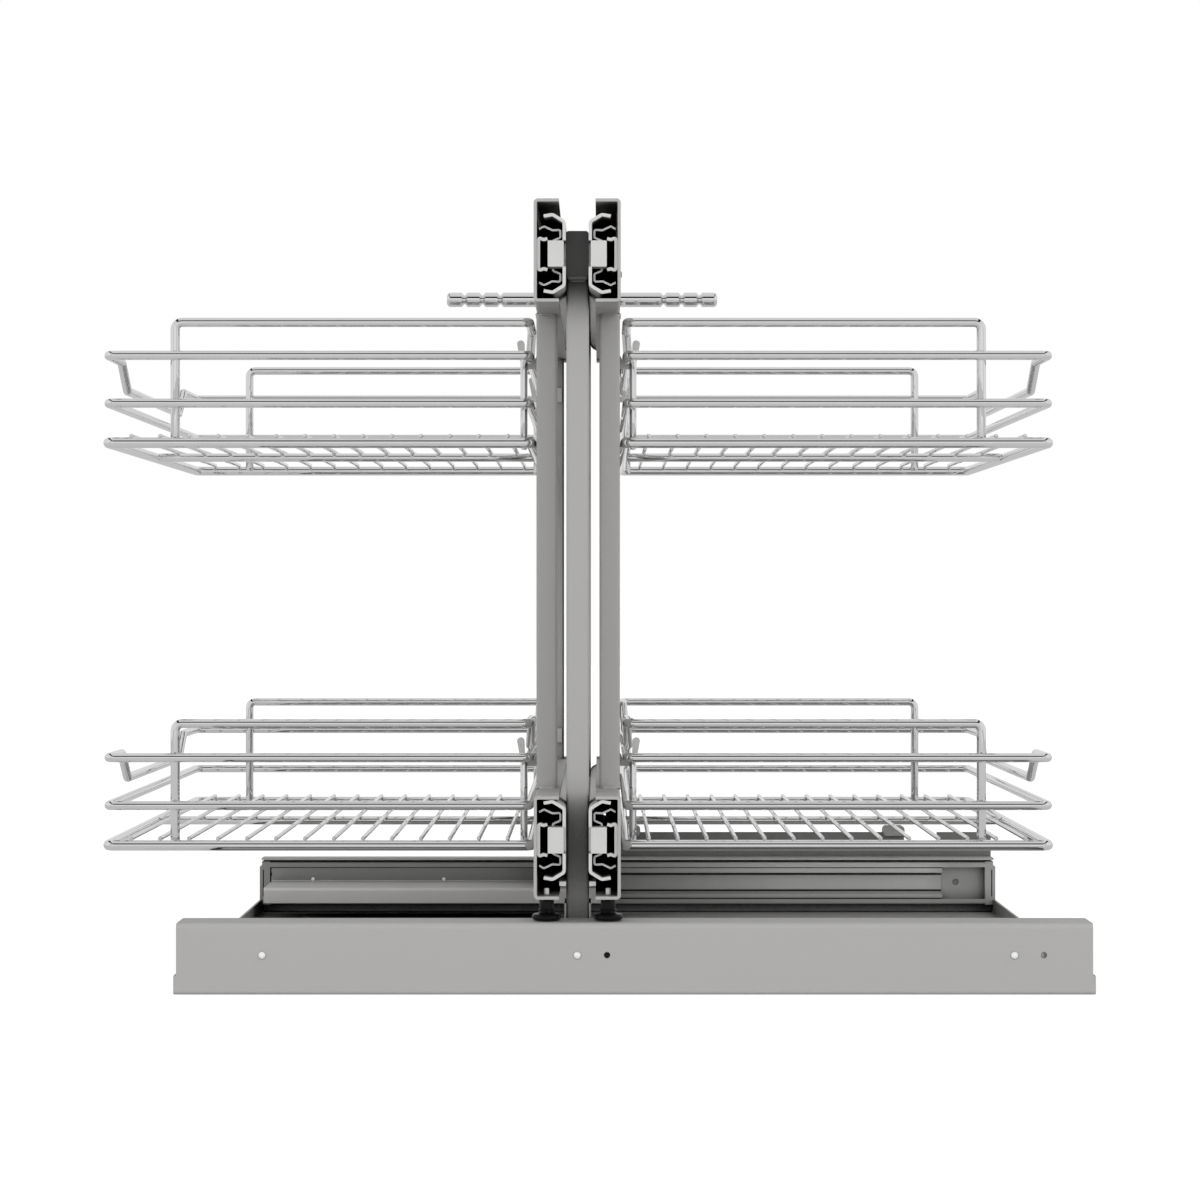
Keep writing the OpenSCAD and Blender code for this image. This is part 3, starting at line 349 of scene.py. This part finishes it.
screws, washers = bmesh.new(), bmesh.new()
for out, face in ((-1, 0.0), (1, 2 * half_depth)):
    for x in (-206.2, 0.0, 286.0):
        turn_piece(screws, (x, face, slide_z), (0, out, 0), [
            (-3.2, 1.5), (0.0, 1.5), (0.15, 2.0), (0.4, 2.25), (0.7, 2.12), (0.95, 1.7),
            (1.1, 1.05), (1.19, 0.45), (1.2, 0.1)])
        turn_piece(washers, (x, face, slide_z), (0, out, 0), [
            (0.0, 3.0), (0.12, 3.0), (0.2, 2.85), (0.2, 1.6), (0.0, 1.55)])
zinc = Finish(bpy.data.materials.new("zinc_white"))
white_zinc = zinc.close(zinc.node("ShaderNodeBsdfPrincipled", None, {
    "Base Color": zinc.tones(zinc.noise(300.0), (0.90, 0.90, 0.89), 0.95, 1.05),
    "Metallic": 0.3, "Roughness": zinc.noise(500.0) * 0.1 + 0.3}))
hang_piece("track_screws", screws, "right", "base", white_zinc, "bright_steel", "wall_screws")
hang_piece("screw_washers", washers, "right", "base",
           coat("washer_shadow_steel", (0.33, 0.33, 0.325), 0.4, 0.1, 0.0), "bright_steel")

# The cross slides' tracks, middle members and carriage rails are folded from cold-rolled strip
# and zinc plated, with fine rolling lines along their length.


def rolled(name, color, roughness, line_axis, metal=0.5, shade_reach=0.03, lit_fronts=False,
           lit_tint=None, shade_band=None):
    """Plated strip steel with faint lines along line_axis, 0 for X and 1 for Y. The cross slides'
    upper right may be painted lighter, as painted light. Painted shade makes them near black at
    the heights between two given distances above and below their middle, in the runner's slits,
    and in hollows."""
    finish = Finish(bpy.data.materials.new(name))
    stretch = [1400.0, 1400.0, 1400.0]
    stretch[line_axis] = 6.0
    place = finish.own_place()
    lines = finish.node("ShaderNodeMapping", None, {"Vector": place, "Scale": stretch})
    drawn = finish.noise(1.0, 2.0, 0.6, lines)
    slow = finish.noise(25.0, 4.0, 0.65)
    bump = finish.node("ShaderNodeBump", None,
                       {"Strength": 0.15, "Distance": 0.00005, "Height": drawn})
    tint = finish.tones(slow * 0.7 + drawn * 0.3, color, 0.95, 1.04)
    # Painted light: lighter towards the right and towards the top.
    if lit_tint:
        along = finish.part(place, "X")
        lit_share = ((along + 0.03) / 0.16).clamped() - ((along - 0.245) / 0.02).clamped() * 0.6
        raised = ((finish.part(place, "Z") - 0.013) / 0.009).clamped()
        tint = finish.mix(lit_share * (raised * 0.8 + 0.2), tint, lit_tint + (1,))
    # Painted shade: near-black bands at two heights.
    if shade_band:
        height = abs(finish.part(place, "Z") - slide_z / 1000)
        band = (height > shade_band[0]) * (height < shade_band[1])
        tint = finish.mix(band, tint, (0.01, 0.01, 0.009, 1))
    skin = finish.node("ShaderNodeBsdfPrincipled", None, {
        "Base Color": tint, "Metallic": metal,
        "Roughness": drawn * 0.15 + (roughness - 0.07), "Normal": bump})
    return finish.close(skin, shade_reach, lit_fronts=lit_fronts)


# Painted light: the lighter zinc tone of the cross slides' upper right.
lit_zinc = (0.54, 0.54, 0.53)
dress(rolled("cross_slide_steel", (0.28, 0.28, 0.275), 0.45, 0, 0.3, lit_tint=lit_zinc),
      "front_cross_track", "rear_cross_track", "carriage_rails")
# Painted shade: dark bands in the runner's slits.
dress(rolled("cross_runner_steel", (0.28, 0.28, 0.275), 0.45, 0, 0.3, lit_tint=lit_zinc,
             shade_band=(0.0059, 0.0075)), "cross_runner_pair")

# Three low rivets stand on each carriage arm's upright, on the face that looks into the unit.
# They are headed in steel and zinc plated like the screws.
rivets = bmesh.new()
for out, face in ((1, 16.29), (-1, 469.71)):
    for x in (-220.3, -113.0, -5.7):
        turn_piece(rivets, (x, face, 29.4), (0, out, 0), [
            (-0.5, 1.5), (0.0, 1.5), (0.35, 1.4), (0.65, 1.05), (0.8, 0.5), (0.82, 0.1)], 20)
hang_piece("arm_rivets", rivets, "right", "centre_frame", white_zinc, "bright_steel")

# Flat-headed screws in dark zinc stand in the two wide holes of the rear cross track's web. They
# are turned, with a groove around a raised middle, and hold the web to the wall behind it.
plugs = bmesh.new()
for x in (19.5, 308.0):
    turn_piece(plugs, (x, 484.2, slide_z), (0, -1, 0), [
        (0.02, 2.5), (0.9, 2.5), (1.0, 2.35), (0.5, 1.75), (0.5, 1.5), (0.9, 1.2), (0.9, 0.1)], 24)
dark_zinc = coat("dark_zinc", (0.20, 0.20, 0.195), 0.4, 0.1, 0.0)
hang_piece("track_plugs", plugs, "right", "base", dark_zinc, "bright_steel")

# Hardened balls run in pressed cages between the slides' members. The cages' steel is painted
# dark for the shade deep in the slides, and their hollows are painted in shade.
cage_shade = plated("cage_shade_steel", (0.16, 0.155, 0.145), 0.25, 0.1, 0.02)
dress(cage_shade, "cross_ball_cages", "carriage_ball_cages", "left_ball_cages", "right_ball_cages")

# The centre frame's posts stand in folded zinc-plated brackets, each with one hexagon bolt.
dress(rolled("bracket_steel", (0.5, 0.5, 0.49), 0.42, 1), "foot_brackets")
dress(plated("bright_steel", (0.88, 0.88, 0.87), 0.16), "bracket_bolts")

# Short zinc-plated lugs on both sides of each centre post carry the folded bottom rail's ends.
# They are cropped from flat bar.
lugs = bmesh.new()
for side in (-1, 1):
    for near, far_end in ((30.0, 61.5), (424.5, 456.0)):
        bmesh.ops.create_cube(lugs, size=1.0, matrix=Matrix.Translation(
            (side * 9.9, (near + far_end) / 2, 69.7)) @ Matrix.Diagonal(
                (4.4, far_end - near, 2.9, 1)))
hang_piece("bottom_rail_lugs", lugs, "right", "centre_frame", white_zinc, "bright_steel")

# The stop bar behind the top rail is turned from round bar with three V-shaped grooves and a
# rounded end at each side, then polished and plated.
bar_radius, bar_end, bar_round = 6.0, 112.0, 3.4
half_bar = []
for groove in (67.6, 82.4, 97.2):
    half_bar += [(groove - 2.4, bar_radius), (groove - 0.4, bar_radius - 2.3),
                 (groove + 0.4, bar_radius - 2.3), (groove + 2.4, bar_radius)]
half_bar += [(bar_end - bar_round + bar_round * math.sin(a),
              bar_radius - bar_round + bar_round * math.cos(a))
             for a in (math.radians(t) for t in range(0, 91, 15))]
stop_bar = bmesh.new()
turn_piece(stop_bar, (0, 495, 507.05), (1, 0, 0),
           [(-t, r) for t, r in reversed(half_bar)] + half_bar, 48)
hang_piece("turned_stop_bar", stop_bar, "right", "centre_frame",
           plated("polished_bar", (0.86, 0.86, 0.86), 0.03, 0.03), "bright_steel",
           "rear_stop_bar", crease=20)

# The rack slides are roll-formed like the cross slides and lighter in their plating. The rack's
# channels, which carry the inner members, and its posts are coated like the frame.
# The slides' hollows are in painted shade, and their faces that look to the front stay painted
# lit.
slide_steel = rolled("slide_steel", (0.70, 0.70, 0.69), 0.42, 1, lit_fronts=True)
# The rack posts' coat is painted a little darker than the frame's, as painted shade.
rack_post_steel = coat("rack_post_steel", (0.35, 0.346, 0.34), 0.45, 0.2)
for hand in ("left", "right"):
    for level in ("upper", "lower"):
        dress(slide_steel, f"{hand}_{level}_track", f"{hand}_{level}_runner",
              f"{hand}_{level}_rail")
    dress(frame_steel, f"{hand}_upper_channel", f"{hand}_lower_channel")
    dress(rack_post_steel, f"{hand}_front_post", f"{hand}_rear_post")

# Button-headed screws hold each channel to its slide. They stand on the channel's outer face,
# three along its length.
rack_face = 28.5
for hand in ("left", "right"):
    buttons = bmesh.new()
    for z in (478.0, 104.5):
        for y in (60.0, 240.0, 420.0):
            turn_piece(buttons, (rack_face, y, z), (1, 0, 0), [
                (-0.3, 2.5), (0.0, 2.5), (0.4, 2.42), (0.85, 2.0), (1.15, 1.35), (1.18, 1.1),
                (0.6, 1.0), (0.6, 0.05)], 24)
    hang_piece(f"{hand}_channel_screws", buttons, hand, f"{hand}_rack", dark_zinc,
               "bright_steel")

# Fillet welds join the rack posts to their channels and the centre posts to the top rail. The
# seams were laid by a robot in even ripples and coated over with the rest.


def weld_seam(mesh, start, end, radius):
    """A rippled bead from start to end."""
    start, end = Vector(start), Vector(end)
    along = (end - start).normalized()
    side = along.orthogonal().normalized()
    other = along.cross(side)
    count = max(4, round((end - start).length / 0.45))
    rings = []
    for k in range(count + 1):
        swell = min(1.0, 0.45 + min(k, count - k) * 0.3) * (0.86 + 0.14 * math.cos(k * 2.1))
        rings.append([start.lerp(end, k / count)
                      + (side * math.cos(a) + other * math.sin(a)) * radius * swell
                      for a in (2 * math.pi * i / 10 for i in range(10))])
    skin_rings(mesh, rings)


for hand in ("left", "right"):
    seams = bmesh.new()
    for near in (80.0, 440.0):
        for z in (129.8, 453.5):
            for y in (near, near + 30):
                weld_seam(seams, (16.5, y, z), (26.5, y, z), 1.3)
            weld_seam(seams, (28.0, near + 3, z), (28.0, near + 27, z), 1.3)
    hang_piece(f"{hand}_rack_welds", seams, hand, f"{hand}_rack", frame_steel, "frame_steel",
               crease=180)
seams = bmesh.new()
for near in (32.0, 424.0):
    for y in (near, near + 30):
        weld_seam(seams, (-5.5, y, 471.0), (5.5, y, 471.0), 1.2)
hang_piece("centre_welds", seams, "right", "centre_frame", frame_steel, "frame_steel",
           crease=180)

# The top rail's caps are moulded in black plastic, the bumpers in pale grey plastic, and the
# pads on the stop plate in grey rubber.


def moulded(name, color, roughness, grain, gloss=0.5):
    """Moulded plastic or rubber with a fine spark-eroded grain."""
    finish = Finish(bpy.data.materials.new(name))
    slow = finish.noise(40.0, 2.0, 0.5)
    bump = finish.node("ShaderNodeBump", None, {
        "Strength": grain, "Distance": 0.0001, "Height": finish.noise(2200.0, 2.0, 0.7)})
    skin = finish.node("ShaderNodeBsdfPrincipled", None, {
        "Base Color": finish.tones(slow, color, 0.94, 1.06), "Roughness": slow * 0.1 + roughness,
        "Normal": bump, "Specular IOR Level": gloss})
    return finish.close(skin)


dress(moulded("cap_plastic", (0.028, 0.028, 0.028), 0.5, 0.2), "top_rail_caps")
dress(moulded("pale_plastic", (0.57, 0.57, 0.56), 0.5, 0.1),
      "left_runner_bumpers", "right_runner_bumpers")
dress(moulded("pad_rubber", (0.30, 0.30, 0.29), 0.6, 0.3), "stop_pads")

# Each rack rests on one round foot, injection moulded in glossy black plastic, which screws up
# into the lower channel on a threaded stud and slides along the front wall's flange.
gloss_black = moulded("foot_plastic", (0.004, 0.004, 0.004), 0.06, 0.0, 0.16)
foot_x, foot_y = 20.3, 15.0
rim = [(49.5 + 2.2 * math.sin(a), 7.55 + 2.2 * math.cos(a))
       for a in (math.radians(t) for t in range(-90, 91, 18))]
thread = [(62.4 + k * 0.21, 1.75 if k % 3 else 1.42) for k in range(27)]
for hand in ("left", "right"):
    foot = bmesh.new()
    turn_piece(foot, (foot_x, foot_y, 0), (0, 0, 1), [(47.3, 0.3)] + rim + [
        (51.85, 6.3), (52.2, 5.5), (52.7, 5.0), (53.5, 4.85), (53.6, 5.25), (53.9, 5.5),
        (54.4, 5.5), (54.7, 5.25), (54.8, 4.85), (61.8, 4.85), (62.3, 4.6), (62.3, 0.3)], 48)
    hang_piece(f"{hand}_round_foot", foot, hand, f"{hand}_rack", gloss_black, "black_plastic",
               f"{hand}_foot", crease=50)
    stud = bmesh.new()
    turn_piece(stud, (foot_x, foot_y, 0), (0, 0, 1),
               [(49.65, 1.7), (62.3, 1.7)] + thread + [(68.2, 1.6), (68.5, 1.25)], 24)
    hang_piece(f"{hand}_threaded_stud", stud, hand, f"{hand}_rack", white_zinc,
               "bright_steel", f"{hand}_foot_stud", crease=60)

# The basket hooks are laser cut from plate, tumbled and plated a little darker than the rack
# slides.
dress(rolled("hook_steel", (0.56, 0.56, 0.55), 0.42, 1, 0.4, 0.0),
      "left_basket_hooks", "right_basket_hooks")

# Each basket is bent from round wire and resistance welded, then chromed. The floor has a thick
# frame and thin mesh wires; two rails, the guards and two inner uprights make the sides. The
# wires sink a little into each other where they were welded, with a small bead at each joint.
chrome = plated("basket_chrome", (0.86, 0.86, 0.86), 0.01, 0.02)


def corner_arc(before, corner, after, radius, steps=7):
    """Points of the bend that a former leaves at a corner of the wire."""
    into = (corner - before).normalized()
    out = (after - corner).normalized()
    angle = into.angle(out)
    reach = radius * math.tan(angle / 2)
    inward = (out - into * math.cos(angle)).normalized()
    centre = corner - into * reach + inward * radius
    return [centre + (into * math.sin(t) - inward * math.cos(t)) * radius
            for t in (angle * k / steps for k in range(steps + 1))]


def wire_route(points, closed, bend=4.2):
    """The middle line of a wire bent around a former of the radius bend, in millimetres."""
    points = [Vector(p) for p in points]
    count = len(points)
    line = [] if closed else [points[0]]
    for k in range(count) if closed else range(1, count - 1):
        line += corner_arc(points[k - 1], points[k], points[(k + 1) % count], bend)
    return line if closed else line + [points[-1]]


def sweep_wire(mesh, line, radius, closed, sides=20):
    """Skins a wire along its middle line, with domed ends if it is open."""
    count = len(line)
    steps = []
    for k in range(count):
        before = line[k - 1] if closed or k else line[0]
        after = line[(k + 1) % count] if closed or k < count - 1 else line[-1]
        steps.append((after - before).normalized())
    across = steps[0].orthogonal().normalized()
    frames = []
    for k in range(count):
        if k:
            across = steps[k - 1].rotation_difference(steps[k]) @ across
        frames.append(across)
    twist = 0.0
    if closed:
        last = steps[-1].rotation_difference(steps[0]) @ frames[-1]
        twist = math.atan2(steps[0].dot(last.cross(frames[0])), last.dot(frames[0]))
    stations = [(line[k], steps[k], frames[k], 1.0, k / count) for k in range(count)]
    if not closed:
        dome = [(0.0, 1.0), (0.45, 0.893), (0.8, 0.6)]
        head = [(line[0] - steps[0] * (radius * a - radius * 0.8), steps[0], frames[0], b, 0)
                for a, b in reversed(dome)]
        tail = [(line[-1] + steps[-1] * (radius * a - radius * 0.8), steps[-1], frames[-1], b, 0)
                for a, b in dome]
        stations = head + stations[1:-1] + tail
    rings = []
    for place, along, start, swell, share in stations:
        turned = Matrix.Rotation(twist * share, 3, along) @ start
        other = along.cross(turned)
        rings.append([place + (turned * math.cos(a) + other * math.sin(a)) * radius * swell
                      for a in (2 * math.pi * i / sides for i in range(sides))])
    skin_rings(mesh, rings, closed)


def weld_bead(mesh, place, along, across, size):
    """The flattened drop of metal at a welded crossing, at place, long along one wire."""
    turned = Matrix((across, along.cross(across), along)).transposed().to_4x4()
    flattened = Matrix.Diagonal((size * 0.55, size * 0.4, size, 1))
    bmesh.ops.create_icosphere(mesh, subdivisions=2, radius=1,
                               matrix=Matrix.Translation(place) @ turned @ flattened)


def straight_wire(mesh, start, end, radius, sides=20):
    """A cut length of wire."""
    sweep_wire(mesh, [Vector(start), Vector(end)], radius, False, sides)


wire_left, wire_right = 32.4, 321.4
wire_front, wire_back = 83.0, 509.6
centre_x, middle = (wire_left + wire_right) / 2, (wire_front + wire_back) / 2
frame_wire, rail_wire, upright_wire, mesh_wire = 3.7, 3.2, 2.5, 1.5
mesh_count, mesh_pitch = 14, 19.8
rail_in = 1.1
x0, x1 = wire_left + rail_in, wire_right
y0, y1 = wire_front + rail_in, wire_back - rail_in
guard_leg, guard_depth = 276.4, 89.95
sideways, backwards = Vector((1, 0, 0)), Vector((0, 1, 0))


def from_end(y, flip):
    """A place given from the front, or the same place from the basket's back."""
    return wire_front + wire_back - y if flip else y


for hand in ("left", "right"):
    for level, z in (("upper", 365.8), ("lower", 90.7)):
        tray = bmesh.new()
        frame_line = wire_route([(wire_left, wire_front, z), (wire_right, wire_front, z),
                                 (wire_right, wire_back, z), (wire_left, wire_back, z)], True)
        sweep_wire(tray, frame_line, frame_wire, True, 24)
        straight_wire(tray, (wire_left, middle, z + 0.5), (wire_right, middle, z + 0.5),
                      rail_wire)
        mesh_z = z + frame_wire + mesh_wire - 0.55
        for k in range(mesh_count):
            x = centre_x + (k - (mesh_count - 1) / 2) * mesh_pitch
            straight_wire(tray, (x, wire_front, mesh_z), (x, wire_back, mesh_z), mesh_wire, 14)
            for y in (wire_front, middle, wire_back):
                weld_bead(tray, Vector((x, y, z + 3.6)), backwards, sideways, 2.6)
        hang_piece(f"{hand}_{level}_tray_wires", tray, hand, f"{hand}_rack", chrome,
                   "basket_wire", f"{hand}_{level}_floor")

        sides = bmesh.new()
        low, top, high = z + 27.1, z + 59.8, z + 82.9
        dip = top - 18.6
        sweep_wire(sides, wire_route([(x0, y0, low), (x1, y0, low), (x1, y1, low), (x0, y1, low)],
                                     True), rail_wire, True)
        sweep_wire(sides, wire_route([
            (x0, y0, top), (x1, y0, top), (x1, y0 + 55, top), (x1, y0 + 79.8, dip),
            (x1, y1 - 99.8, dip), (x1, y1 - 75, top), (x1, y1, top), (x0, y1, top)], True),
            rail_wire, True)
        for flip in (False, True):
            guard = from_end(guard_depth, flip)
            sweep_wire(sides, wire_route([
                (guard_leg, guard, z), (guard_leg, guard, high), (x0, guard, high),
                (x0, from_end(guard_depth + 72, flip), high),
                (x0 + 1.6, from_end(guard_depth + 82, flip), top + 2)], False, 4.8),
                rail_wire, False)
            for height in (low, top):
                weld_bead(sides, Vector((guard_leg, from_end(guard_depth - 2.6, flip), height)),
                          sideways, backwards, 3.0)
            upright = from_end(wire_front + 22, flip)
            straight_wire(sides, (37.6, upright, z - frame_wire), (37.6, upright, top),
                          upright_wire, 16)
            for height in (low, top):
                weld_bead(sides, Vector((35.6, upright, height)), backwards, sideways, 2.4)
        hang_piece(f"{hand}_{level}_side_wires", sides, hand, f"{hand}_rack", chrome,
                   "basket_wire", f"{hand}_{level}_basket")
